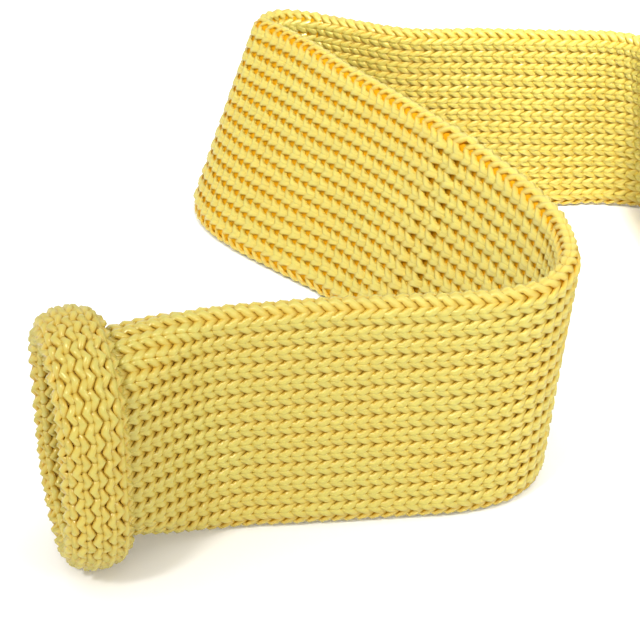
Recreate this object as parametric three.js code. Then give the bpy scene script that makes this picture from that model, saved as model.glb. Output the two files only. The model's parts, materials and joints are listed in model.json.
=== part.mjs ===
// Knitted martial arts belt, standing on its edge in a zig-zag.
//
// The belt is one flattened tube of plain knit. Its near end opens and curls outwards into a
// rolled cuff; its far length is wound into a storage roll, with a cuff like the near one in
// its core. Every stretch of the strap is a mesh of its own. The strap turns on four upright
// hinges: its neck and its three bends. Millimetres, +Z up, the strap's lower edge on z = 0.

import * as THREE from 'three';
import { ParametricGeometry } from 'three/addons/geometries/ParametricGeometry.js';

// ---------------------------------------------------------------- driving dimensions

const strapWidth = 45; // height of the strap as it stands on its edge
const strapThickness = 4.6; // both layers of the flattened tube
const edgeRounding = 1.2; // of the strap's long edges
const hingeClearance = 0.3; // from a hinge's axis to each of the two ends that meet there
const seatGap = 0.3; // between two stretches that touch and don't turn

const wallThickness = 2.3; // one layer of knit
const cuffWidth = 11.8; // of the rolled cuff, along the strap
const cuffDepth = 8; // of the rolled cuff, away from the mouth
const cuffHeight = 47; // over the whole ring
const cuffSpread = 33; // the ring's other diameter
const cuffHeading = THREE.MathUtils.degToRad(18); // of the near cuff's axis, from +X
const mouthLength = 19; // from the cuff to where the strap is flat
const mouthTaper = 0.55; // share of the mouth's length over which the inside closes up

const beltLength = 2200; // laid out flat, cuff to cuff
const rollPitch = 4.9; // from one turn of the roll to the next
const coreRadius = 30; // of the open core that holds the far cuff
const farTailRadius = 13; // of the far end's bend inside the core
const farTailTurn = THREE.MathUtils.degToRad(120); // how far it turns in from the innermost turn
const leadInMargin = 1.8; // from where the lead-in ends to where it would meet the roll

// The strap's route in plan, from the neck behind the near cuff to where it joins the roll:
// the place of its middle, and how far its upper edge stands off from its lower one.
const route = [
  { x: -15.9, y: -75.1, leanX: 0, leanY: -1 },
  { x: -8.5, y: -74.3, leanX: 0, leanY: 0 },
  { x: 3.4, y: -72.9, leanX: 0, leanY: 0.6 },
  { x: 14.5, y: -71.8, leanX: 0, leanY: 0.4 },
  { x: 25.2, y: -70.6, leanX: 0, leanY: 0 },
  { x: 32.6, y: -68.4, leanX: 0.5, leanY: -1.2 },
  { x: 38.2, y: -64.2, leanX: 2, leanY: -2 },
  { x: 41.4, y: -57.4, leanX: 4.5, leanY: 0.5, hinge: 'right' },
  { x: 41.2, y: -50.2, leanX: 7, leanY: 1.6 },
  { x: 38.6, y: -41.2, leanX: 10.4, leanY: 3.2 },
  { x: 34, y: -30.2, leanX: 12, leanY: 5.4 },
  { x: 28.2, y: -18.4, leanX: 12.6, leanY: 7.2 },
  { x: 20.2, y: -4.2, leanX: 13.6, leanY: 7.8 },
  { x: 7.6, y: 16.2, leanX: 14.8, leanY: 8.6 },
  { x: -3, y: 30, leanX: 17.6, leanY: 10.8 },
  { x: -11.8, y: 42.6, leanX: 20, leanY: 13.4 },
  { x: -17.6, y: 52, leanX: 19.6, leanY: 12.6 },
  { x: -20.9, y: 60.4, leanX: 16.4, leanY: 9.6, hinge: 'left' },
  { x: -17.4, y: 66.4, leanX: 15.6, leanY: 6.4 },
  { x: -8.4, y: 66.8, leanX: 11, leanY: 4.4 },
  { x: 4.6, y: 63.2, leanX: 6, leanY: 1 },
  { x: 18.6, y: 59.2, leanX: 3, leanY: -3 },
  { x: 36.6, y: 58, leanX: 1, leanY: -1 },
  { x: 54.6, y: 57, leanX: -1, leanY: -1 },
  { x: 67.4, y: 57, leanX: -3, leanY: -2.6 },
  { x: 75.6, y: 54.2, leanX: -6, leanY: -3, hinge: 'third' },
  { x: 77.8, y: 46.8, leanX: -4, leanY: -1.6 },
  { x: 78.4, y: 36.6, leanX: -1.6, leanY: 0 },
  { x: 78.4, y: 18, leanX: 0, leanY: 0 },
];

const uprightReach = 22; // how far from a hinge the strap has taken up its whole lean
const legStep = 7; // spacing of a leg's stations
const bendReach = 13; // from a hinge to where its bend becomes a leg
const bendStep = 2.2; // spacing of a bend's stations
const endSegments = 4; // round each quarter of a stretch's rounded end
const edgeSegments = 2; // across a strap edge's rounding
const ovalSegments = 44; // round a cuff or a mouth
const cuffSegments = 14; // round the section of a cuff
const mouthStations = 6; // along one side of a mouth
const rollSegments = 72; // round the roll
const stepsPerPoint = 40; // arc-length samples between two route points

// ---------------------------------------------------------------- the strap's route

const spline = new THREE.CatmullRomCurve3(route.map((p) => new THREE.Vector3(p.x, p.y, 0)));
const leanSpline = new THREE.CatmullRomCurve3(
  route.map((p) => new THREE.Vector3(p.leanX, p.leanY, 0)),
  false,
  'catmullrom',
);
spline.arcLengthDivisions = stepsPerPoint * (route.length - 1);
const arcLengths = spline.getLengths();
const routeLength = spline.getLength();
const hingeAt = {};
route.forEach((p, i) => {
  if (p.hinge) hingeAt[p.hinge] = arcLengths[i * stepsPerPoint];
});

/** How much of its lean the strap has at s: none at a hinge or at the route's two ends. */
function leanShare(s) {
  const uprights = [0, hingeAt.right, hingeAt.left, hingeAt.third, routeLength];
  const nearest = Math.min(...uprights.map((at) => Math.abs(s - at)));
  return THREE.MathUtils.smoothstep(nearest, 0, uprightReach);
}

/** The place at s along the strap, n to the left of its middle and z above its lower edge. */
function onStrap(s, n, z) {
  const u = THREE.MathUtils.clamp(s / routeLength, 0, 1);
  const t = spline.getUtoTmapping(u);
  const middle = spline.getPoint(t);
  const heading = spline.getTangent(t);
  const lean = leanSpline.getPoint(t).multiplyScalar(leanShare(s) * (z / strapWidth - 0.5));
  return middle.add(lean).add(new THREE.Vector3(-heading.y * n, heading.x * n, z));
}

// ---------------------------------------------------------------- geometry of the pieces

/**
 * The stations of a strap stretch in order, as its distance s along the strap and the share of its
 * full thickness that it has there. A round end thins down as a half circle does; a flat one closes
 * at once.
 */
function stretchStations({ from, to, step, roundStart, roundEnd }) {
  const half = strapThickness / 2;
  const start = roundStart ? from + half : from;
  const end = roundEnd ? to - half : to;
  const steps = Math.max(1, Math.ceil((end - start) / step));
  const cap = (at, outward, isRound) => {
    if (!isRound) return [{ s: at, share: 0 }];
    const ring = [];
    for (let i = 0; i < endSegments; i += 1) {
      const angle = (i / endSegments) * (Math.PI / 2);
      ring.push({ s: at + outward * half * Math.cos(angle), share: Math.sin(angle) });
    }
    return ring;
  };
  const body = [];
  for (let i = 0; i <= steps; i += 1) body.push({ s: start + ((end - start) * i) / steps, share: 1 });
  return [...cap(start, -1, roundStart), ...body, ...cap(end, 1, roundEnd).reverse()];
}

/** The strap's section in order round it: a flat rectangle with rounded corners, as { n, z }. */
function strapSection() {
  const half = strapThickness / 2;
  const corners = [
    { n: half - edgeRounding, z: strapWidth - edgeRounding, turn: 0 },
    { n: edgeRounding - half, z: strapWidth - edgeRounding, turn: 1 },
    { n: edgeRounding - half, z: edgeRounding, turn: 2 },
    { n: half - edgeRounding, z: edgeRounding, turn: 3 },
  ];
  return corners.flatMap(({ n, z, turn }) => {
    const points = [];
    for (let i = 0; i <= edgeSegments; i += 1) {
      const angle = (turn + i / edgeSegments) * (Math.PI / 2);
      points.push({ n: n + edgeRounding * Math.cos(angle), z: z + edgeRounding * Math.sin(angle) });
    }
    return points;
  });
}

/** A strap stretch as a solid: its section carried from station to station, laid on place(). */
function stretchGeometry({ from, to, step, roundStart = false, roundEnd = false, place = onStrap }) {
  const stations = stretchStations({ from, to, step, roundStart, roundEnd });
  const section = strapSection();
  const skin = (round, along, target) => {
    const station = stations[Math.round(along * (stations.length - 1))];
    const { n, z } = section[Math.round(round * section.length) % section.length];
    target.copy(place(station.s, n * station.share, z));
  };
  return new ParametricGeometry(skin, section.length, stations.length - 1);
}

/**
 * A point of an upright oval with two straight sides of 2 * straight and round ends. Each side
 * and each end takes a quarter of the way round, so ovals of any size line up.
 */
function ovalPoint(share, straight, radius) {
  const quarters = 4 * (share - Math.floor(share));
  const sign = quarters < 2 ? 1 : -1;
  const within = quarters % 2;
  if (within < 1) return { y: sign * radius, z: sign * straight * (2 * within - 1) };
  const turn = (within - 1) * Math.PI;
  return { y: sign * radius * Math.cos(turn), z: sign * (straight + radius * Math.sin(turn)) };
}

const ovalStraight = (cuffHeight - cuffSpread) / 2;

/** The rolled cuff about its own axis: a ring whose section is an ellipse. */
function cuffGeometry() {
  const middleRadius = (cuffSpread - cuffDepth) / 2;
  const ring = (round, across, target) => {
    const angle = across * 2 * Math.PI;
    const radius = middleRadius + (cuffDepth / 2) * Math.cos(angle);
    const p = ovalPoint(round, ovalStraight, radius);
    target.set((cuffWidth / 2) * Math.sin(angle), p.y, p.z);
  };
  return new ParametricGeometry(ring, ovalSegments, cuffSegments);
}

/** Sections of the mouth in order: up its outside, over its rim and down its inside. */
function mouthSections() {
  const flat = { straight: (strapWidth - strapThickness) / 2, radius: strapThickness / 2 };
  const openRadius = (cuffSpread - 2 * cuffDepth) / 2 + wallThickness;
  const open = { straight: ovalStraight, radius: openRadius };
  const blend = (share, inset) => {
    const eased = THREE.MathUtils.smoothstep(share, 0, 1);
    const radius = THREE.MathUtils.lerp(open.radius, flat.radius, eased) - inset;
    const straight = THREE.MathUtils.lerp(open.straight, flat.straight, eased);
    return { x: share * mouthLength, straight, radius: Math.max(radius, 0) };
  };
  const sections = [{ x: mouthLength, straight: 0, radius: 0 }];
  for (let i = mouthStations; i >= 0; i -= 1) sections.push(blend(i / mouthStations, 0));
  for (let i = 0; i < mouthStations; i += 1) {
    sections.push(blend((mouthTaper * i) / (mouthStations - 1), wallThickness));
  }
  const last = sections[sections.length - 1];
  sections.push({ x: last.x, straight: 0, radius: 0 });
  return sections;
}

/** The mouth between cuff and flat strap: a shell, open at the cuff and closed where it is flat. */
function mouthGeometry() {
  const sections = mouthSections();
  const shell = (round, along, target) => {
    const section = sections[Math.round(along * (sections.length - 1))];
    const p = ovalPoint(1 - round, section.straight, section.radius);
    target.set(section.x, p.y, p.z);
  };
  return new ParametricGeometry(shell, ovalSegments, sections.length - 1);
}

// ---------------------------------------------------------------- the storage roll

const mouthStart = cuffWidth / 2 + seatGap;
const cuffToNeck = mouthStart + mouthLength + hingeClearance;
const farTailLength = farTailRadius * farTailTurn;
const woundLength = beltLength - routeLength - farTailLength - 2 * cuffToNeck;
const rollRadius = Math.sqrt(coreRadius ** 2 + (woundLength * rollPitch) / Math.PI);
const joinsRoll = onStrap(routeLength, 0, 0);
const rollCentre = new THREE.Vector2(joinsRoll.x + rollRadius - strapThickness / 2, joinsRoll.y);
// The lead-in stops short of where the roll's outside would meet its inner face.
const leadStop = Math.sqrt(strapThickness * (2 * rollRadius - strapThickness)) + leadInMargin;

/** All turns of the roll as one ring. */
function rollGeometry() {
  const profile = new THREE.Path();
  profile.moveTo(coreRadius, edgeRounding);
  profile.lineTo(coreRadius + edgeRounding, 0);
  profile.lineTo(rollRadius - edgeRounding, 0);
  profile.lineTo(rollRadius, edgeRounding);
  profile.lineTo(rollRadius, strapWidth - edgeRounding);
  profile.lineTo(rollRadius - edgeRounding, strapWidth);
  profile.lineTo(coreRadius + edgeRounding, strapWidth);
  profile.lineTo(coreRadius, strapWidth - edgeRounding);
  profile.closePath();
  const geometry = new THREE.LatheGeometry(profile.getPoints(1), rollSegments);
  return geometry.rotateX(Math.PI / 2);
}

// The far tail turns in from the innermost turn, on the roll's far side from the lead-in.
const tailStartRadius = coreRadius - seatGap - strapThickness / 2;
const tailCentre = new THREE.Vector2(tailStartRadius - farTailRadius, 0);

/** The place at s along the far tail, measured from where it leaves the innermost turn. */
function onFarTail(s, n, z) {
  const angle = s / farTailRadius;
  const radius = farTailRadius - n;
  return new THREE.Vector3(
    tailCentre.x + radius * Math.cos(angle),
    tailCentre.y + radius * Math.sin(angle),
    z,
  );
}

// ---------------------------------------------------------------- materials and assembly

const beltYellow = new THREE.Color().setRGB(0.8, 0.68, 0.18);
const mouthShade = 0.92; // the opened mouth lies in the cuff's shadow

/** Satin knit in the belt's yellow; each mesh has a material of its own. */
function knit(shade) {
  const color = beltYellow.clone().multiplyScalar(shade);
  return new THREE.MeshStandardMaterial({ color, roughness: 0.55, metalness: 0 });
}

function piece(name, geometry, shade = 1) {
  const mesh = new THREE.Mesh(geometry, knit(shade));
  mesh.name = name;
  return mesh;
}

/** A cuff with its mouth, about the cuff's centre; the strap leaves it along +X. */
function cuffEnd(name) {
  const end = new THREE.Group();
  const mouth = piece(`${name}_mouth`, mouthGeometry(), mouthShade);
  mouth.position.set(mouthStart, 0, strapWidth / 2);
  const cuff = piece(`${name}_cuff`, cuffGeometry());
  cuff.position.z = cuffHeight / 2;
  end.add(mouth, cuff);
  return end;
}

const nearEnd = cuffEnd('near');
nearEnd.rotation.z = cuffHeading;
nearEnd.position.set(
  route[0].x - cuffToNeck * Math.cos(cuffHeading),
  route[0].y - cuffToNeck * Math.sin(cuffHeading),
  0,
);

/** A bend's two halves and the leg between two bends, as { name: span } of the route. */
function stretches() {
  const { right, left, third } = hingeAt;
  const clear = hingeClearance;
  const halfSeat = seatGap / 2;
  const bend = { step: bendStep };
  const leg = { step: legStep };
  return {
    front_leg: { ...leg, from: clear, to: right - bendReach - halfSeat, roundStart: true },
    right_bend_front: { ...bend, from: right - bendReach + halfSeat, to: right - clear, roundEnd: true },
    right_bend_back: { ...bend, from: right + clear, to: right + bendReach - halfSeat, roundStart: true },
    middle_leg: { ...leg, from: right + bendReach + halfSeat, to: left - bendReach - halfSeat },
    left_fold_front: { ...bend, from: left - bendReach + halfSeat, to: left - clear, roundEnd: true },
    left_fold_back: { ...bend, from: left + clear, to: left + bendReach - halfSeat, roundStart: true },
    back_leg: { ...leg, from: left + bendReach + halfSeat, to: third - bendReach - halfSeat },
    third_bend_front: { ...bend, from: third - bendReach + halfSeat, to: third - clear, roundEnd: true },
    roll_lead_in: { ...bend, from: third + clear, to: routeLength - leadStop, roundStart: true },
  };
}

const rollEnd = new THREE.Group();
rollEnd.position.set(rollCentre.x, rollCentre.y, 0);
const farTail = piece(
  'far_tail',
  stretchGeometry({ from: 0, to: farTailLength, step: bendStep, roundStart: true, place: onFarTail }),
);
const farEnd = cuffEnd('far');
const tailTip = onFarTail(farTailLength, 0, 0);
const tipToCuff = mouthStart + mouthLength + seatGap;
farEnd.rotation.z = farTailTurn - Math.PI / 2;
farEnd.position.set(
  tailTip.x - tipToCuff * Math.sin(farTailTurn),
  tailTip.y + tipToCuff * Math.cos(farTailTurn),
  0,
);
rollEnd.add(piece('stored_roll', rollGeometry()), farTail, farEnd);

const belt = new THREE.Group();
belt.add(nearEnd, rollEnd);
Object.entries(stretches()).forEach(([name, span]) => {
  belt.add(piece(name, stretchGeometry(span)));
});

// The origin is the middle of the belt's footprint, on the surface that it stands on.
const footprint = new THREE.Box3().setFromObject(belt, true);
belt.position.set(
  -(footprint.min.x + footprint.max.x) / 2,
  -(footprint.min.y + footprint.max.y) / 2,
  0,
);

export default belt;
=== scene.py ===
"""Looks of a knitted martial arts belt that stands on its edge in a zig-zag.

The belt is one flattened tube of plain knit. Every stitch is a real loop of yarn, laid on the
tube's surface; under the loops lies a plain ground, the knit's own middle surface, dark orange in the
pores as painted shade. Metres.
"""

import json
import logging
import math
from dataclasses import dataclass, field
from enum import Enum

import bpy
import numpy as np
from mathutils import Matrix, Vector


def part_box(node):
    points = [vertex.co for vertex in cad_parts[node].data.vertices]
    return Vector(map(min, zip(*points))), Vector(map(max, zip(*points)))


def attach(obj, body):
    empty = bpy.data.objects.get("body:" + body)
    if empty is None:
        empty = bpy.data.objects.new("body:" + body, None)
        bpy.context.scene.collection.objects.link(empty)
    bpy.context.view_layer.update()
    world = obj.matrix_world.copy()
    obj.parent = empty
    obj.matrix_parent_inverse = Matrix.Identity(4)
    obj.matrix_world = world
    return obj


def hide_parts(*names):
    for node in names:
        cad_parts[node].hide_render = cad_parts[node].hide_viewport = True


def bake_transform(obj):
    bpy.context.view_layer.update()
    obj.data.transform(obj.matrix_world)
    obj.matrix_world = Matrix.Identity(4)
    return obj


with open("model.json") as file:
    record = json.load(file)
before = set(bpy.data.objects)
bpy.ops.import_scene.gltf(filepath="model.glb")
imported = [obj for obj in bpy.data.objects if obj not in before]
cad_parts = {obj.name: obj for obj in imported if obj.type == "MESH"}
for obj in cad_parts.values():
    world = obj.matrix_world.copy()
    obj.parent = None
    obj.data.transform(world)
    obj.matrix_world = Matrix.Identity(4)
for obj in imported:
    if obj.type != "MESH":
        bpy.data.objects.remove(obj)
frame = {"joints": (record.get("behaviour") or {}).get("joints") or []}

log = logging.getLogger("belt")
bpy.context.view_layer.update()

# The strap's route in plan, neck to roll: its middle, and how far its upper edge leans out.
ROUTE = np.array([
    (-0.0159, -0.0751, 0.0000, -0.0010), (-0.0085, -0.0743, 0.0000, 0.0000),
    (0.0034, -0.0729, 0.0000, 0.0006), (0.0145, -0.0718, 0.0000, 0.0004),
    (0.0252, -0.0706, 0.0000, 0.0000), (0.0326, -0.0684, 0.0005, -0.0012),
    (0.0382, -0.0642, 0.0020, -0.0020), (0.0414, -0.0574, 0.0045, 0.0005),
    (0.0412, -0.0502, 0.0070, 0.0016), (0.0386, -0.0412, 0.0104, 0.0032),
    (0.0340, -0.0302, 0.0120, 0.0054), (0.0282, -0.0184, 0.0126, 0.0072),
    (0.0202, -0.0042, 0.0136, 0.0078), (0.0076, 0.0162, 0.0148, 0.0086),
    (-0.0030, 0.0300, 0.0176, 0.0108), (-0.0118, 0.0426, 0.0200, 0.0134),
    (-0.0176, 0.0520, 0.0196, 0.0126), (-0.0209, 0.0604, 0.0164, 0.0096),
    (-0.0174, 0.0664, 0.0156, 0.0064), (-0.0084, 0.0668, 0.0110, 0.0044),
    (0.0046, 0.0632, 0.0060, 0.0010), (0.0186, 0.0592, 0.0030, -0.0030),
    (0.0366, 0.0580, 0.0010, -0.0010), (0.0546, 0.0570, -0.0010, -0.0010),
    (0.0674, 0.0570, -0.0030, -0.0026), (0.0756, 0.0542, -0.0060, -0.0030),
    (0.0778, 0.0468, -0.0040, -0.0016), (0.0784, 0.0366, -0.0016, 0.0000),
    (0.0784, 0.0180, 0.0000, 0.0000),
])
HINGE_POINTS = {"neck_bend": 0, "right_bend": 7, "left_fold": 17, "third_bend": 25}
# Sockets of a colour Mix node: what it mixes from, what it mixes to, and its result.
MIX_FROM, MIX_TO, MIX_RESULT = 6, 7, 2


class Wales(Enum):
    """Which columns of stitches a piece shows, counted round the tube from its upper edge.

    Each value is the first column and the one after the last. A face also takes the two columns
    of the tube's lower edge.
    """

    ALL = None
    CREST = (-2, 3)
    LEFT_FACE = (3, 16)
    RIGHT_FACE = (14, 28)


class Opening(Enum):
    """At which ends of a stretch the tube is open."""

    NONE = "none"
    AT_START = "start"
    AT_END = "end"
    THROUGH = "through"


@dataclass(frozen=True)
class Tube:
    """The flattened tube, as laid flat."""

    width: float = 0.045
    thickness: float = 0.0046

    @property
    def layer(self) -> float:
        """Thickness of one layer of knit."""
        return self.thickness / 2

    @property
    def edge_radius(self) -> float:
        """Radius of the knit's middle surface at the strap's edges."""
        return self.thickness / 2 - self.layer / 2

    @property
    def half_straight(self) -> float:
        """Half the height of the flat part between the two round edges."""
        return self.width / 2 - self.thickness / 2


TUBE = Tube()


@dataclass(frozen=True)
class Loop:
    """One stitch of plain knit.

    Along the row the yarn advances evenly and swings by a double sine; across the row it
    follows a cosine from head to foot. Out of the fabric it stands highest a little to the foot
    side of each leg and dives behind at the head and the foot, so each leg's pointed foot end
    lies over the head end of the leg before it. A rib lifts the middle of each wale by a cosine.

    The swing is a share of a wale's width and the reach one of the pitch. The foot and head shares
    are of the yarn's width. Crowding gathers the stations on the legs.
    """

    wales: int = 30
    pitch: float = 0.00228
    swing: float = 0.30
    reach: float = 0.95
    depth: float = 0.0006
    skew: float = 0.42
    yarn_width: float = 0.00172
    yarn_height: float = 0.00116
    foot_share: float = 0.40
    head_share: float = 0.78
    rib: float = 0.0
    crowding: float = 0.45
    steps: int = 12
    sides: int = 6

    def path(self, count: int, closed: bool) -> tuple[np.ndarray, ...]:
        """The yarn of one row, in units of the stitch.

        Stations crowd on the legs. The tilt is the cosine plus the skew times its shortfall
        from one, squared; the lift is one less twice the tilt squared.

        Args:
            count: how many stitches.
            closed: whether the last station, which is also the first, is left out.

        Returns:
            Place along the row, share of the reach, share of the depth, share of the width.
        """
        even = np.arange(count * self.steps + (0 if closed else 1)) / self.steps
        t = even + self.crowding * np.sin(4 * math.pi * even) / (4 * math.pi)
        across = np.cos(2 * math.pi * t)
        tilt = across + self.skew * (1 - across ** 2)
        foot, head = np.minimum(across, 0) ** 2, np.maximum(across, 0) ** 2
        width = 1 - (1 - self.foot_share) * foot - (1 - self.head_share) * head
        return t, across, 1 - 2 * tilt ** 2, width


class Stitch(Enum):
    """The stitches of the belt's stretches."""

    FIRM = Loop()
    LOOSER = Loop(pitch=0.0025)
    SLACK = Loop(pitch=0.0031, reach=1.1, swing=0.33, depth=0.0007, yarn_width=0.0019,
                 yarn_height=0.0013, foot_share=0.75, rib=0.0001)
    RIBBED = Loop(pitch=0.0030, reach=1.1, swing=0.31, depth=0.0006, yarn_width=0.0019,
                  yarn_height=0.0013, foot_share=0.75, rib=0.0003)
    FOLDED = Loop(pitch=0.0029, reach=1.05, depth=0.0006, yarn_width=0.0019, foot_share=0.75,
                  rib=0.0003)
    PLUMP = Loop(wales=36, pitch=0.0023, yarn_width=0.0017, yarn_height=0.0014, foot_share=0.85,
                 head_share=0.85, depth=0.0007, skew=0.1, reach=0.85, swing=0.26)
    COARSE = Loop(steps=9, sides=5, pitch=0.0025)


@dataclass(frozen=True)
class Cuts:
    """Where one stretch ends and the next begins, as distances along the belt from its neck.

    The mouth is how far before the near neck, and past the far one, a cuff begins.
    """

    mouth: float = 0.0225
    neck_end: float = 0.025
    front_end: float = 0.050
    right_bend_end: float = 0.080
    middle_half: float = 0.130
    middle_end: float = 0.1775
    left_fold_end: float = 0.220
    back_end: float = 0.2825
    third_bend_end: float = 0.320


@dataclass
class Sections:
    """Table of the tube's oval sections, one row for each distance along the belt.

    Each row holds the distance, the section's centre, its two axes, the half height of its
    straight sides and the radius of its round ends, all of the knit's middle surface.
    """

    along: np.ndarray
    rows: np.ndarray

    @staticmethod
    def make(along: np.ndarray, centre: np.ndarray, across: np.ndarray, up: np.ndarray,
             straight: np.ndarray, radius: np.ndarray) -> "Sections":
        """Packs the columns into one table, in order of distance.

        Args:
            along: distance along the belt of each section.
            centre: the sections' centres.
            across: unit vectors along their short axes.
            up: unit vectors along their long axes.
            straight: half the height of their straight part.
            radius: of their round ends.

        Returns:
            The table.
        """
        rows = np.column_stack([centre, across, up, straight, radius])
        order = np.argsort(along, kind="stable")
        return Sections(along[order], rows[order])

    def joined(self, other: "Sections") -> "Sections":
        """This table followed by another, which starts where this one ends."""
        return Sections(np.concatenate([self.along, other.along]), np.vstack([self.rows, other.rows]))

    def eased(self, at: float, within: float = 0.006) -> "Sections":
        """Rounds a corner of the belt: near it every column runs as one cubic from side to side.

        The cubic's slopes at its two ends are those of the columns just outside it.

        Args:
            at: distance along the belt of the corner.
            within: how far to each side the cubic reaches.

        Returns:
            The table with its rows near the corner replaced.
        """
        outside = 0.1
        places = (at - (1 + outside) * within, at - within, at + within, at + (1 + outside) * within)
        before, first, last, after = (np.array([np.interp(x, self.along, c) for c in self.rows.T])
                                      for x in places)
        rows = self.rows.copy()
        near = np.abs(self.along - at) < within
        w = ((self.along[near] - at) / within + 1)[:, None] / 2
        slope = 2 / outside
        enter, leave = (first - before) * slope, (after - last) * slope
        w2, w3 = w * w, w * w * w
        rows[near] = ((2 * w3 - 3 * w2 + 1) * first + (w3 - 2 * w2 + w) * enter
                      + (3 * w2 - 2 * w3) * last + (w3 - w2) * leave)
        return Sections(self.along, rows)

    def point(self, share: np.ndarray, along: np.ndarray) -> np.ndarray:
        """Points of the middle surface.

        The section's outline is walked at even speed from its top: a quarter turn, a straight
        side, a half turn, the other side and the last quarter.

        Args:
            share: how far round the tube, 1 being the whole way.
            along: distance along the belt.

        Returns:
            One point for each pair.
        """
        values = [np.interp(along, self.along, column) for column in self.rows.T]
        centre, across, up = (np.stack(values[k:k + 3], -1) for k in (0, 3, 6))
        straight, radius = values[9], values[10]
        whole = 4 * straight + 2 * math.pi * radius
        walk = (share % 1.0) * whole
        left = walk < whole / 2
        half = np.where(left, walk, whole - walk)
        quarter = math.pi * radius / 2
        turn_top = np.clip(half, 0, quarter) / radius
        down = np.clip(half - quarter, 0, 2 * straight)
        turn_low = np.clip(half - quarter - 2 * straight, 0, quarter) / radius
        turn = turn_top + turn_low
        n = np.where(left, 1.0, -1.0) * radius * np.sin(turn)
        z = straight - down + radius * np.cos(turn)
        return centre + across * n[..., None] + up * z[..., None]

    def skin(self, share: np.ndarray, along: np.ndarray) -> tuple[np.ndarray, np.ndarray]:
        """Points of the middle surface and its outward normals, by central differences.

        Args:
            share: how far round the tube, 1 being the whole way.
            along: distance along the belt.

        Returns:
            The points and the normals.
        """
        ds, da = 0.002, 0.0002
        round_it = self.point(share + ds, along) - self.point(share - ds, along)
        along_it = self.point(share, along + da) - self.point(share, along - da)
        return self.point(share, along), unit(np.cross(along_it, round_it))


def unit(v: np.ndarray) -> np.ndarray:
    """Vectors scaled to length one."""
    return v / np.maximum(np.linalg.norm(v, axis=-1, keepdims=True), 1e-12)


def smoothstep(x: np.ndarray) -> np.ndarray:
    """Eases from 0 to 1: 3 x squared less 2 x cubed, with x held between 0 and 1."""
    x = np.clip(x, 0, 1)
    return x * x * (3 - 2 * x)


def through(points: np.ndarray, t: np.ndarray, centripetal: bool) -> np.ndarray:
    """A smooth curve through points, as Hermite cubics with chord-weighted or even slopes.

    Args:
        points: what the curve passes through.
        t: places on it, whole numbers being the points.
        centripetal: whether slopes are weighted by the square roots of the chords.

    Returns:
        One point for each t.
    """
    ends = np.vstack([2 * points[0] - points[1], points, 2 * points[-1] - points[-2]])
    i = np.clip(np.floor(t).astype(int), 0, len(points) - 2)
    w = (t - i)[:, None]
    p0, p1, p2, p3 = (ends[i + k] for k in range(4))
    if centripetal:
        gaps = np.sqrt(np.linalg.norm(np.diff(ends, axis=0), axis=1))[:, None]
        g0, g1, g2 = (gaps[i + k] for k in range(3))
        m1 = ((p1 - p0) / g0 - (p2 - p0) / (g0 + g1) + (p2 - p1) / g1) * g1
        m2 = ((p2 - p1) / g1 - (p3 - p1) / (g1 + g2) + (p3 - p2) / g2) * g1
    else:
        m1, m2 = (p2 - p0) / 2, (p3 - p1) / 2
    w2, w3 = w * w, w * w * w
    return (2 * w3 - 3 * w2 + 1) * p1 + (w3 - 2 * w2 + w) * m1 + (3 * w2 - 2 * w3) * p2 + (w3 - w2) * m2


def left_of(heading: np.ndarray) -> np.ndarray:
    """Level vectors a quarter turn to the left of each heading."""
    return unit(np.stack([-heading[:, 1], heading[:, 0], 0 * heading[:, 0]], -1))


@dataclass
class Strap:
    """The flat strap along its route, from the neck to where it joins the roll."""

    shift: np.ndarray
    samples_per_point: int = 60
    at: dict[str, float] = field(default_factory=dict)
    length: float = 0.0

    def sections(self) -> Sections:
        """Works out the sections, and notes the strap's length and where its hinges lie on it.

        Returns:
            The table.
        """
        t = np.linspace(0, len(ROUTE) - 1, self.samples_per_point * (len(ROUTE) - 1) + 1)
        middle = through(ROUTE[:, :2], t, True) + self.shift
        lean = through(ROUTE[:, 2:], t, False) / TUBE.width
        steps = np.linalg.norm(np.diff(middle, axis=0), axis=1)
        along = np.concatenate([[0], np.cumsum(steps)])
        self.length = float(along[-1])
        self.at = {n: float(along[i * self.samples_per_point]) for n, i in HINGE_POINTS.items()}
        heading = np.column_stack([np.gradient(middle, along, axis=0), 0 * along])
        up = np.column_stack([lean, 0 * along + 1])
        centre = np.column_stack([middle, 0 * along + TUBE.width / 2])
        across = unit(np.cross(up, heading))
        return Sections.make(along, centre, across, up, 0 * along + TUBE.half_straight,
                             0 * along + TUBE.edge_radius)


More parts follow.
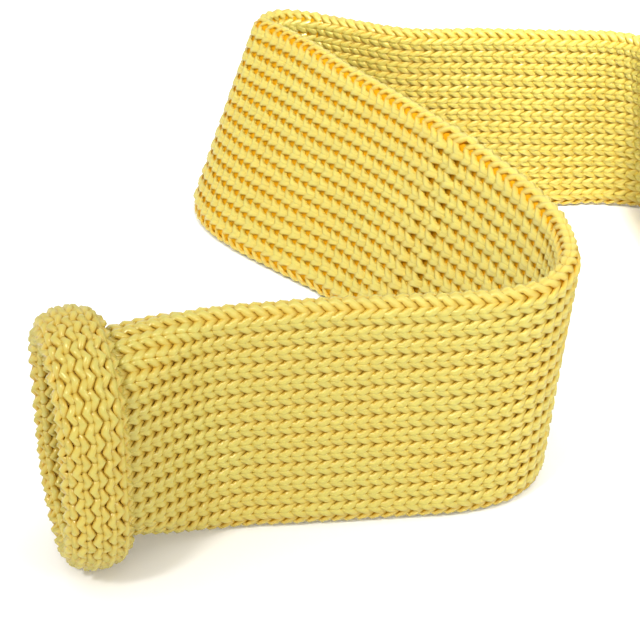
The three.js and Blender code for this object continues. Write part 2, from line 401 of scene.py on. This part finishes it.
@dataclass
class CuffEnd:
    """An end of the tube: it opens from flat to an oval, and its edge curls outwards.

    The curl is an ellipse round the ring's middle line, walked from the side nearest the axis
    over the front, and it tightens into itself after a turn. The mouth's half height
    falls from the strap's to the ring's by a power of the share of the way.
    """

    neck: np.ndarray
    outwards: float
    width: float = 0.0118
    depth: float = 0.0080
    height: float = 0.047
    spread: float = 0.033
    reach: float = 0.0255
    mouth: float = 0.0196
    closing: float = 1.6
    curl: float = 2.5 * math.pi
    tightens_after: float = 1.3 * math.pi
    least_depth: float = 0.0004
    mouth_stations: int = 120
    curl_stations: int = 400

    def profile(self) -> tuple[np.ndarray, np.ndarray, np.ndarray, np.ndarray]:
        """The end's profile from the neck outwards.

        Returns:
            Distance from the neck, distance along the axis, radius and half straight.
        """
        half_w, half_d = (self.width - TUBE.layer) / 2, (self.depth - TUBE.layer) / 2
        ring = (self.spread - self.depth) / 2
        open_straight = (self.height - self.spread) / 2
        share = np.linspace(0, 1, self.mouth_stations)
        x_mouth = self.reach * share
        r_mouth = TUBE.edge_radius + (ring - half_d - TUBE.edge_radius) * smoothstep(share)
        flat, opened = TUBE.half_straight + TUBE.edge_radius, open_straight + ring - half_d
        h_mouth = flat + (opened - flat) * share ** self.closing - r_mouth
        angle = np.linspace(0, self.curl, self.curl_stations)
        tighten = TUBE.layer * smoothstep((angle - self.tightens_after) / math.pi)
        x_curl = self.reach + (half_w - tighten) * np.sin(angle)
        r_curl = ring - np.maximum(half_d - tighten, self.least_depth) * np.cos(angle)
        x = np.concatenate([x_mouth, x_curl])
        radius = np.concatenate([r_mouth, r_curl])
        straight = np.concatenate([h_mouth, 0 * angle + open_straight])
        length = np.concatenate([[0], np.cumsum(np.hypot(np.diff(x), np.diff(radius)))])
        return length, x, radius, straight

    def sections(self, start: float, forwards: bool) -> Sections:
        """The end's sections.

        Args:
            start: distance along the belt at the neck.
            forwards: whether the belt runs from the neck to the cuff.

        Returns:
            The table, in order along the belt.
        """
        length, x, radius, straight = self.profile()
        way = np.array([math.cos(self.outwards), math.sin(self.outwards), 0])
        sign = 1 if forwards else -1
        lift = TUBE.width / 2 + (self.height - TUBE.width) / 2 * smoothstep(x / self.mouth)
        centre = np.column_stack([self.neck + x[:, None] * way[:2], lift])
        across = left_of(np.tile(sign * way, (len(x), 1)))
        up = np.tile([0.0, 0.0, 1.0], (len(x), 1))
        return Sections.make(start + sign * length, centre, across, up, straight, radius)


@dataclass
class StoredRoll:
    """The spare length, wound in from the outside, and the tail that turns into its core."""

    centre: np.ndarray
    outer: float
    inner: float = 0.0274
    turns: float = 6.5
    tail_radius: float = 0.013
    tail_turn: float = math.radians(120)
    spiral_stations: int = 2600
    tail_stations: int = 80
    wound: float = 0.0
    tip: np.ndarray = field(default_factory=lambda: np.zeros(2))

    def sections(self, start: float) -> Sections:
        """The roll's sections: an even spiral from the outer to the inner radius, then the tail.

        It also notes the wound length and the tail's tip.

        Args:
            start: distance along the belt where the roll begins.

        Returns:
            The table.
        """
        angle = np.linspace(0, 2 * math.pi * self.turns, self.spiral_stations)
        radius = self.outer + (self.inner - self.outer) * angle / angle[-1]
        place = self.centre + radius[:, None] * -np.column_stack([np.cos(angle), np.sin(angle)])
        turn = np.linspace(0, self.tail_turn, self.tail_stations)[1:]
        pivot = self.centre + [self.inner - self.tail_radius, 0]
        tail = pivot + self.tail_radius * np.column_stack([np.cos(turn), np.sin(turn)])
        middle = np.vstack([place, tail])
        along = np.concatenate([[0], np.cumsum(np.linalg.norm(np.diff(middle, axis=0), axis=1))])
        heading = np.column_stack([np.gradient(middle, along, axis=0), 0 * along])
        centre = np.column_stack([middle, 0 * along + TUBE.width / 2])
        up = np.tile([0.0, 0.0, 1.0], (len(along), 1))
        self.wound = float(along[len(angle) - 1])
        self.tip = tail[-1]
        return Sections.make(start + along, centre, left_of(heading), up,
                             0 * along + TUBE.half_straight, 0 * along + TUBE.edge_radius)


# ------------------------------------------------------------------ meshes


def grid_mesh(name: str, points: np.ndarray, uv: np.ndarray, rows_closed: bool,
              ends_capped: bool, extra: np.ndarray | None = None) -> bpy.types.Object:
    """Puts one or more tubes into a mesh.

    Args:
        name: the piece's name.
        points: tubes, stations along each, points round each, coordinates.
        uv: the same shape with two columns, distance along the yarn and share round it.
        rows_closed: whether each tube closes on itself.
        ends_capped: whether an open tube's two ends get a face.
        extra: one number for each point, kept as the attribute "deep".

    Returns:
        The object, at the origin, shaded smooth.
    """
    tubes, stations, sides = points.shape[:3]
    index = np.arange(tubes * stations * sides).reshape(tubes, stations, sides)
    here = index if rows_closed else index[:, :-1]
    there = np.roll(index, -1, axis=1) if rows_closed else index[:, 1:]
    quads = np.stack([here, np.roll(here, -1, 2), np.roll(there, -1, 2), there], -1).reshape(-1, 4)
    loops, sizes = quads.ravel(), np.full(len(quads), 4)
    if ends_capped and not rows_closed:
        caps = np.concatenate([index[:, 0, ::-1], index[:, -1]])
        loops = np.concatenate([loops, caps.ravel()])
        sizes = np.concatenate([sizes, np.full(len(caps), sides)])
    mesh = bpy.data.meshes.new(name)
    mesh.vertices.add(points[..., 0].size)
    mesh.vertices.foreach_set("co", points.astype(np.float32).ravel())
    mesh.loops.add(len(loops))
    mesh.loops.foreach_set("vertex_index", loops.astype(np.int32))
    mesh.polygons.add(len(sizes))
    starts = np.concatenate([[0], np.cumsum(sizes)[:-1]])
    mesh.polygons.foreach_set("loop_start", starts.astype(np.int32))
    mesh.polygons.foreach_set("loop_total", sizes.astype(np.int32))
    mesh.update(calc_edges=True)
    mesh.polygons.foreach_set("use_smooth", np.ones(len(sizes), bool))
    layer = mesh.uv_layers.new(name="yarn")
    layer.data.foreach_set("uv", uv.reshape(-1, 2)[loops].astype(np.float32).ravel())
    # The extra numbers are painted shade, kept on the points for the yarn's finish to read.
    if extra is not None:
        painted_shade = mesh.attributes.new("painted_shade", "FLOAT", "POINT")
        painted_shade.data.foreach_set("value", extra.astype(np.float32).ravel())
    obj = bpy.data.objects.new(name, mesh)
    bpy.context.scene.collection.objects.link(obj)
    return obj


@dataclass(frozen=True)
class Pucker:
    """A puckered place: every other course there stands up, by a bell curve along the belt."""

    at: float = 0.118
    within: float = 0.007
    lift: float = 0.0005

    def rise(self, row: np.ndarray) -> np.ndarray:
        """How far each course stands up, from where it lies along the belt."""
        bell = np.exp(-((row - self.at) / self.within) ** 2)
        return self.lift * bell * (np.arange(len(row)) % 2)


@dataclass
class Knitter:
    """Lays yarn loops and the plain ground under them on the belt's surface."""

    belt: Sections
    pucker: Pucker = Pucker()
    jitter: float = 0.045
    sway: float = 0.4
    slip: float = 0.5
    stand: float = 0.5
    # Painted shade: its weight where the yarn dives, and the power on the yarn's inward flank.
    dive_shade: float = 0.55
    flank_power: float = 1.2
    lines_apart: float = 7.3
    wall: float = 0.0004
    open_depth: float = 0.012
    wall_stations: int = 16
    least_stations: int = 6
    seed: int = 7
    seeds_per_metre: float = 1e5

    def yarn(self, name: str, start: float, end: float, loop: Loop, wales: Wales = Wales.ALL,
             purl_out: bool = False) -> bpy.types.Object:
        """A run of courses as yarn: as many as fit evenly, near the stitch's own pitch.

        Each stitch is shaken sideways, along and outwards by a random share of its size. The painted
        shade grows as the yarn dives and on the flank of the yarn that faces inwards.

        Args:
            name: the piece's name.
            start: distance along the belt where the run begins.
            end: where it ends.
            loop: the stitch.
            wales: which columns of stitches.
            purl_out: whether the heads and feet show, and not the legs; it only turns the painted shade
                to the side that shows.

        Returns:
            The piece.
        """
        whole = wales is Wales.ALL
        low, high = (0, loop.wales) if whole else wales.value
        t, across, rise, width = loop.path(high - low, whole)
        courses = max(1, round((end - start) / loop.pitch))
        pitch = (end - start) / courses
        rng = np.random.default_rng([self.seed, round((start + 1) * self.seeds_per_metre)])
        wobble = rng.normal(0, self.jitter, (3, courses, high - low))
        pick = np.minimum(t.astype(int), high - low - 1)
        shake = wobble[:, :, pick] * np.sin(np.pi * (t % 1.0)) ** 2
        swung = t + loop.swing * np.sin(4 * math.pi * t)
        share = (low + swung + self.sway * shake[0]) / loop.wales
        row = start + (np.arange(courses) + 0.5) * pitch
        along = row[:, None] + (loop.reach * across + self.slip * shake[1]) * pitch
        lift = loop.depth * rise + loop.rib * np.cos(2 * math.pi * swung)
        lift = lift + shake[2] * TUBE.layer * self.stand + self.pucker.rise(row)[:, None]
        place, normal = self.belt.skin(share, along)
        line = place + normal * lift[..., None]
        forward = np.roll(line, -1, 1) - np.roll(line, 1, 1) if whole else np.gradient(line, axis=1)
        forward = unit(forward)
        side = unit(np.cross(forward, normal))
        out = np.cross(side, forward)
        wide = loop.yarn_width * width
        turn = 2 * math.pi * np.arange(loop.sides) / loop.sides
        ring = (side[:, :, None] * (wide[:, None] * np.cos(turn) / 2)[None, :, :, None]
                + out[:, :, None] * (loop.yarn_height * np.sin(turn) / 2)[None, None, :, None])
        points = line[:, :, None] + ring
        lengthwise = t[None, :, None] + self.lines_apart * np.arange(courses)[:, None, None]
        uv = np.stack(np.broadcast_arrays(lengthwise, (turn / (2 * math.pi))[None, None, :]), -1)
        # Painted shade: more where the yarn dives and on its inward flank; purl_out turns it to the other
        # side.
        shown = -1 if purl_out else 1
        dive = (1 - shown * rise)[:, None] / 2
        flank = (1 - shown * np.sin(turn)) / 2
        shade = self.dive_shade * dive + flank ** self.flank_power
        painted_shade = np.broadcast_to(shade[None], points.shape[:3])
        return grid_mesh(name, points, uv, whole, True, painted_shade)

    def ground(self, name: str, start: float, end: float, step: float = 0.0013, points: int = 76,
               inset: float = 0.0, opening: Opening = Opening.NONE) -> bpy.types.Object:
        """The plain middle surface under the yarn, as one closed body; in the pores its dark orange
        finish is painted shade.

        Where the tube is open the body is a thin wall: the surface runs out to the rim and back
        on the wall's inner side.

        Args:
            name: the piece's name.
            start: distance along the belt where it begins.
            end: where it ends.
            step: spacing of its stations.
            points: how many points it has round the tube.
            inset: how far under the knit's middle surface it lies; above it, if negative.
            opening: at which of its ends the tube is open.

        Returns:
            The piece.
        """
        share = np.arange(points) / points
        count = max(self.least_stations, int((end - start) / step))
        runs = [(np.linspace(start, end, count), inset)]
        inner = inset + self.wall
        if opening is Opening.AT_START:
            back = np.linspace(start + self.open_depth, start, self.wall_stations)
            runs.insert(0, (back, inner))
        if opening is Opening.AT_END:
            back = np.linspace(end, end - self.open_depth, self.wall_stations)
            runs.append((back, inner))
        if opening is Opening.THROUGH:
            runs.append((np.linspace(end, start, count), inner))
        rings = []
        for along, under in runs:
            place, normal = self.belt.skin(*np.meshgrid(share, along))
            rings.append(place - normal * under)
        shell = np.vstack(rings)
        uv = np.stack(np.meshgrid(share, np.arange(len(shell)) / len(shell)), -1)[None]
        return grid_mesh(name, shell[None, :, ::-1], uv, opening is Opening.THROUGH, True)


# ------------------------------------------------------------------ finishes


@dataclass(frozen=True)
class YarnFinish:
    """Smooth filament yarn: satin, with fine lines along it, turned orange as painted shade where it
    dives and on its inward flank.
    """

    name: str = "yellow_yarn"
    # The yarn's own yellow, and an orange that is painted shade.
    lit: tuple = (0.505, 0.445, 0.096, 1)
    shaded: tuple = (0.62, 0.31, 0.002, 1)
    roughness: float = 0.24
    specular: float = 0.8
    gleam: tuple = (1, 0.94, 0.62, 1)
    sheen: float = 0.04
    sheen_roughness: float = 0.35
    sheen_tint: tuple = (1, 0.93, 0.6, 1)
    line_depth: float = 0.00006
    line_strength: float = 0.6
    line_scale: tuple = (2.2, 11, 1)
    line_slant: tuple = (0, 0, 0.12)
    fibre_scale: float = 1.6
    fibre_detail: float = 3
    # Random patches of uneven tone; then the weight of the painted shade, and the floor taken off both.
    patch_scale: float = 90
    patch_weight: float = 0.30
    painted_shade_weight: float = 1.1
    shade_floor: float = 0.13

    def material(self) -> bpy.types.Material:
        """Builds the material.

        The share of orange is the painted shade times its weight, plus the random patches times theirs,
        less the floor, held between 0 and 1.

        Returns:
            Yellow mixed with orange: painted shade where the yarn dives and on its inward flank, and
            uneven tone by a slow noise; under a bump of lines that run along the yarn.
        """
        made = bpy.data.materials.new(self.name)
        made.use_nodes = True
        nodes, links = made.node_tree.nodes, made.node_tree.links
        shader = nodes["Principled BSDF"]
        shader.inputs["Roughness"].default_value = self.roughness
        shader.inputs["Specular IOR Level"].default_value = self.specular
        shader.inputs["Specular Tint"].default_value = self.gleam
        shader.inputs["Sheen Weight"].default_value = self.sheen
        shader.inputs["Sheen Roughness"].default_value = self.sheen_roughness
        shader.inputs["Sheen Tint"].default_value = self.sheen_tint
        uv = nodes.new("ShaderNodeUVMap")
        uv.uv_map = "yarn"
        lines = nodes.new("ShaderNodeMapping")
        lines.inputs["Scale"].default_value = self.line_scale
        lines.inputs["Rotation"].default_value = self.line_slant
        fibre = nodes.new("ShaderNodeTexNoise")
        fibre.inputs["Scale"].default_value = self.fibre_scale
        fibre.inputs["Detail"].default_value = self.fibre_detail
        bump = nodes.new("ShaderNodeBump")
        bump.inputs["Distance"].default_value = self.line_depth
        bump.inputs["Strength"].default_value = self.line_strength
        links.new(uv.outputs["UV"], lines.inputs["Vector"])
        links.new(lines.outputs["Vector"], fibre.inputs["Vector"])
        links.new(fibre.outputs["Fac"], bump.inputs["Height"])
        links.new(bump.outputs["Normal"], shader.inputs["Normal"])
        # Reads the painted shade kept on the yarn's points.
        depth = nodes.new("ShaderNodeAttribute")
        depth.attribute_name = "painted_shade"
        place = nodes.new("ShaderNodeTexCoord")
        patch = nodes.new("ShaderNodeTexNoise")
        patch.inputs["Scale"].default_value = self.patch_scale
        links.new(place.outputs["Object"], patch.inputs["Vector"])
        # Random patches of uneven tone plus the weighted painted shade.
        patches_and_painted_shade = nodes.new("ShaderNodeMath")
        patches_and_painted_shade.operation = "MULTIPLY_ADD"
        patches_and_painted_shade.inputs[1].default_value = self.patch_weight
        links.new(patch.outputs["Fac"], patches_and_painted_shade.inputs[0])
        weigh = nodes.new("ShaderNodeMath")
        weigh.operation = "MULTIPLY"
        weigh.inputs[1].default_value = self.painted_shade_weight
        links.new(depth.outputs["Fac"], weigh.inputs[0])
        links.new(weigh.outputs["Value"], patches_and_painted_shade.inputs[2])
        shift = nodes.new("ShaderNodeMath")
        shift.operation = "SUBTRACT"
        shift.use_clamp = True
        shift.inputs[1].default_value = self.shade_floor
        links.new(patches_and_painted_shade.outputs["Value"], shift.inputs[0])
        # Yellow turned towards the orange of the painted shade.
        mix = nodes.new("ShaderNodeMix")
        mix.data_type = "RGBA"
        mix.inputs[MIX_FROM].default_value = self.lit
        mix.inputs[MIX_TO].default_value = self.shaded
        links.new(shift.outputs["Value"], mix.inputs[0])
        links.new(mix.outputs[MIX_RESULT], shader.inputs["Base Color"])
        return made


@dataclass(frozen=True)
class PoreShadeFinish:
    """The inside of the knit, as it shows in the pores between stitches, coloured as painted shade."""

    name: str = "pore_shadow"
    # Two dark oranges of painted shade for the pores; the fine noise between them is uneven tone.
    colour: tuple = (0.52, 0.24, 0.002, 1)
    thin: tuple = (0.66, 0.33, 0.003, 1)
    roughness: float = 0.95
    specular: float = 0.1
    grain_scale: float = 700

    def material(self) -> bpy.types.Material:
        """Builds the material.

        Returns:
            Two oranges of painted pore shade mixed by a fine noise, almost fully matt.
        """
        made = bpy.data.materials.new(self.name)
        made.use_nodes = True
        nodes, links = made.node_tree.nodes, made.node_tree.links
        shader = nodes["Principled BSDF"]
        shader.inputs["Roughness"].default_value = self.roughness
        shader.inputs["Specular IOR Level"].default_value = self.specular
        place = nodes.new("ShaderNodeTexCoord")
        grain = nodes.new("ShaderNodeTexNoise")
        grain.inputs["Scale"].default_value = self.grain_scale
        mix = nodes.new("ShaderNodeMix")
        mix.data_type = "RGBA"
        mix.inputs[MIX_FROM].default_value = self.colour
        mix.inputs[MIX_TO].default_value = self.thin
        links.new(place.outputs["Object"], grain.inputs["Vector"])
        links.new(grain.outputs["Fac"], mix.inputs[0])
        links.new(mix.outputs[MIX_RESULT], shader.inputs["Base Color"])
        return made


# ------------------------------------------------------------------ studio


@dataclass(frozen=True)
class Lamp:
    """One soft square light; a small spread, in degrees, narrows its beam."""

    name: str
    place: tuple
    size: float
    power: float
    target: tuple
    spread: float = 180

    def hang(self) -> None:
        """Puts the light in its place, turned to its target."""
        data = bpy.data.lights.new(self.name, "AREA")
        data.size, data.energy = self.size, self.power
        data.spread = math.radians(self.spread)
        lamp = bpy.data.objects.new(self.name, data)
        bpy.context.scene.collection.objects.link(lamp)
        lamp.location = self.place
        beam = Vector(self.target) - Vector(self.place)
        lamp.rotation_euler = beam.to_track_quat("-Z", "Y").to_euler()


@dataclass
class Studio:
    """Plain pale floor, soft light and the camera, shown in the plain sRGB display curve."""

    aim: np.ndarray
    elevation: float = math.radians(29.19)
    distance: float = 0.38683
    lens: float = 101.25
    sensor: float = 36
    nearest: float = 0.01
    world_strength: float = 1.08
    floor_half: float = 3
    floor_drop: float = 0.0003
    floor_colour: tuple = (0.93, 0.93, 0.93, 1)
    floor_roughness: float = 0.9
    display: str = "Standard"

    def camera(self) -> None:
        """Places the camera south of the aim, looking along +Y and down at it."""
        data = bpy.data.cameras.new("camera")
        data.lens = self.lens
        data.sensor_width = self.sensor
        data.clip_start = self.nearest
        seen = bpy.data.objects.new("camera", data)
        bpy.context.scene.collection.objects.link(seen)
        away = Vector((0, -math.cos(self.elevation), math.sin(self.elevation)))
        seen.location = Vector((*self.aim, 0)) + away * self.distance
        seen.rotation_euler = (-away).to_track_quat("-Z", "Y").to_euler()
        bpy.context.scene.camera = seen

    def floor(self) -> None:
        """A wide pale sheet on the ground plane."""
        edges = np.linspace(-self.floor_half, self.floor_half, 2)
        x, y = np.meshgrid(edges, edges)
        points = np.stack([x, y, 0 * x - self.floor_drop], -1)
        mesh = bpy.data.meshes.new("floor")
        mesh.from_pydata(points.reshape(-1, 3).tolist(), [], [(0, 1, 3, 2)])
        floor = bpy.data.objects.new("floor", mesh)
        bpy.context.scene.collection.objects.link(floor)
        pale = bpy.data.materials.new("pale_floor")
        pale.use_nodes = True
        shader = pale.node_tree.nodes["Principled BSDF"]
        shader.inputs["Base Color"].default_value = self.floor_colour
        shader.inputs["Roughness"].default_value = self.floor_roughness
        mesh.materials.append(pale)

    def light(self) -> None:
        """A bright even sky, a key from the upper left, a fill, and one for the back leg."""
        world = bpy.data.worlds.new("studio")
        world.use_nodes = True
        sky = world.node_tree.nodes["Background"]
        sky.inputs["Color"].default_value = (1, 1, 1, 1)
        sky.inputs["Strength"].default_value = self.world_strength
        bpy.context.scene.world = world
        bpy.context.scene.view_settings.view_transform = self.display
        front = (*self.aim, 0)
        back_leg = (0.02, 0.085, 0.02)
        Lamp("key", (-1.0, -1.3, 1.9), size=0.3, power=22, target=front).hang()
        Lamp("fill", (1.2, -1.3, 1.2), size=0.6, power=8, target=front).hang()
        Lamp("back", (0.06, -0.40, 0.60), size=0.12, power=0.16, target=back_leg, spread=24).hang()


# ------------------------------------------------------------------ the belt


@dataclass
class Belt:
    """The whole belt: its surface from cuff to cuff, and the pieces that it is shown as."""

    shift: np.ndarray
    cuff_heading: float = math.radians(18)
    tail_heading: float = math.radians(30)
    cuts: Cuts = Cuts()
    lifted: float = -0.0004
    cuff_lifted: float = -0.0006
    pieces: list[bpy.types.Object] = field(default_factory=list)

    def __post_init__(self) -> None:
        """Lays out the belt's surface and makes its two finishes."""
        self.strap = Strap(self.shift)
        route = self.strap.sections()
        neck = ROUTE[0, :2] + self.shift
        near = CuffEnd(neck, self.cuff_heading + math.pi)
        low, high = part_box("stored_roll")
        centre = np.array([(low.x + high.x) / 2, (low.y + high.y) / 2])
        self.roll = StoredRoll(centre, (high.x - low.x) / 2 - TUBE.thickness / 2)
        wound = self.roll.sections(self.strap.length)
        self.tail_start = self.strap.length + self.roll.wound
        self.far_neck = float(wound.along[-1])
        tip_way = np.array([math.cos(self.tail_heading + math.pi), math.sin(self.tail_heading + math.pi)])
        far = CuffEnd(self.roll.tip, math.atan2(tip_way[1], tip_way[0]))
        self.near_length = float(near.profile()[0][-1])
        surface = near.sections(0.0, False).joined(route).joined(wound)
        surface = surface.joined(far.sections(self.far_neck, True))
        self.knitter = Knitter(surface.eased(0.0).eased(self.far_neck))
        self.yarn = YarnFinish().material()
        self.pore = PoreShadeFinish().material()

    def dress(self, piece: bpy.types.Object, material: bpy.types.Material, nodes: tuple) -> None:
        """Gives a piece its finish, hides the CAD nodes it stands for, and keeps it among the belt's
        pieces.

        Args:
            piece: the piece.
            material: its finish.
            nodes: the CAD nodes that it takes the place of.
        """
        piece.data.materials.append(material)
        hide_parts(*nodes)
        self.pieces.append(piece)

    def carry(self, piece: bpy.types.Object, bodies: tuple) -> None:
        """Lets a piece ride on its body; one that lies between two bodies is only baked where it lies.

        Args:
            piece: what to carry.
            bodies: one body, or the two that a hinge joins.
        """
        if len(bodies) == 1:
            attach(piece, bodies[0])
            return
        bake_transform(piece)

    def stretch(self, name: str, span: tuple[float, float], nodes: tuple, bodies: tuple,
                reach: float = 0.008, stitch: Stitch = Stitch.FIRM, purl_out: bool = False,
                parts: tuple = (), **ground_options: float | Opening) -> None:
        """One stretch of the belt: its yarn and the ground under it.

        Args:
            name: the stretch's name.
            span: where it begins and ends, along the belt.
            nodes: the CAD nodes it stands for.
            bodies: what it rides on.
            reach: how far from the hinge a bend would end; not used.
            stitch: which stitch it is knitted in.
            purl_out: whether the heads and feet show.
            parts: start, end and wales of each piece of yarn, where it isn't one all round.
            **ground_options: what the ground takes, where it isn't the usual.
        """
        ground = self.knitter.ground(f"{name}_ground", *span, **ground_options)
        self.dress(ground, self.pore, nodes)
        self.carry(ground, bodies)
        yarns = []
        for start, end, wales in parts or ((*span, Wales.ALL),):
            tag = f"_{len(yarns) + 1}" if parts else ""
            yarn = self.knitter.yarn(f"{name}_yarn{tag}", start, end, stitch.value, wales, purl_out)
            self.dress(yarn, self.yarn, nodes)
            self.carry(yarn, bodies)
            yarns.append(yarn)

    def cuff(self, name: str, span: tuple[float, float], body: str) -> None:
        """A rolled cuff, open right through, with the purl side out.

        Args:
            name: the cuff's name, which is also its CAD node's.
            span: where it begins and ends, along the belt.
            body: what it rides on.
        """
        self.stretch(name, span, (name,), (body,), stitch=Stitch.PLUMP, purl_out=True,
                     opening=Opening.THROUGH, inset=self.cuff_lifted)

    def build(self) -> None:
        """All stretches in order, near cuff to far cuff."""
        at = self.cuts
        self.cuff("near_cuff", (-self.near_length, -at.mouth), "cuff_end")
        self.stretch("near_neck", (-at.mouth, at.neck_end), ("near_mouth", "front_leg"),
                     ("cuff_end", "front"), opening=Opening.AT_START)
        self.stretch("front_leg", (at.neck_end, at.front_end), ("front_leg",), ("front",))
        self.stretch("right_bend", (at.front_end, at.right_bend_end),
                     ("right_bend_front", "right_bend_back"), ("front", "middle"),
                     stitch=Stitch.LOOSER)
        self.stretch("middle_leg_low", (at.right_bend_end, at.middle_half), ("middle_leg",),
                     ("middle",), stitch=Stitch.SLACK, inset=self.lifted)
        self.stretch("middle_leg_high", (at.middle_half, at.middle_end), ("middle_leg",),
                     ("middle",), stitch=Stitch.RIBBED, inset=self.lifted)
        self.stretch("left_fold", (at.middle_end, at.left_fold_end),
                     ("left_fold_front", "left_fold_back"), ("middle", "back"), reach=0.0065,
                     stitch=Stitch.FOLDED, inset=self.lifted)
        self.stretch("back_leg", (at.left_fold_end, at.back_end), ("back_leg",), ("back",),
                     stitch=Stitch.LOOSER)
        self.stretch("third_bend", (at.back_end, at.third_bend_end),
                     ("third_bend_front", "roll_lead_in"), ("back", "store"), stitch=Stitch.LOOSER)
        joins = self.strap.length
        self.stretch("lead_in", (at.third_bend_end, joins), ("roll_lead_in",), ("store",),
                     stitch=Stitch.LOOSER)
        self.build_roll(joins)

    def build_roll(self, first: float) -> None:
        """The roll, of which only crests and the outermost and innermost faces have stitches.

        Args:
            first: where the roll begins, along the belt.
        """
        last = self.tail_start
        margin = 0.003
        outer_turn = 2 * math.pi * self.roll.outer
        inner_turn = 2 * math.pi * (self.roll.inner + margin)
        half = (first + last) / 2
        parts = ((first, half, Wales.CREST), (half, last, Wales.CREST),
                 (first, first + outer_turn / 2, Wales.RIGHT_FACE),
                 (first + outer_turn / 2, first + outer_turn, Wales.RIGHT_FACE),
                 (last - inner_turn, last, Wales.LEFT_FACE))
        self.stretch("stored_roll", (first, last), ("stored_roll",), ("store",),
                     stitch=Stitch.COARSE, parts=parts, step=0.004, points=24)
        begins = self.far_neck + self.cuts.mouth
        self.stretch("far_tail", (last, begins), ("far_tail", "far_mouth"), ("store",),
                     stitch=Stitch.COARSE, opening=Opening.AT_END)
        self.cuff("far_cuff", (begins, self.far_neck + self.near_length), "store")


def main() -> None:
    """Builds the studio and the belt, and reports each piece."""
    logging.basicConfig(level=logging.INFO, format="%(message)s")
    hinge = next(j for j in frame["joints"] if j["name"] == "right_bend")
    shift = np.array(hinge["pos_m"][:2]) - ROUTE[HINGE_POINTS["right_bend"], :2]
    studio = Studio(shift)
    studio.camera()
    studio.floor()
    studio.light()
    belt = Belt(shift)
    belt.build()
    for piece in belt.pieces:
        log.info("%s: %d faces", piece.name, len(piece.data.polygons))


if __name__ == "__main__":
    main()
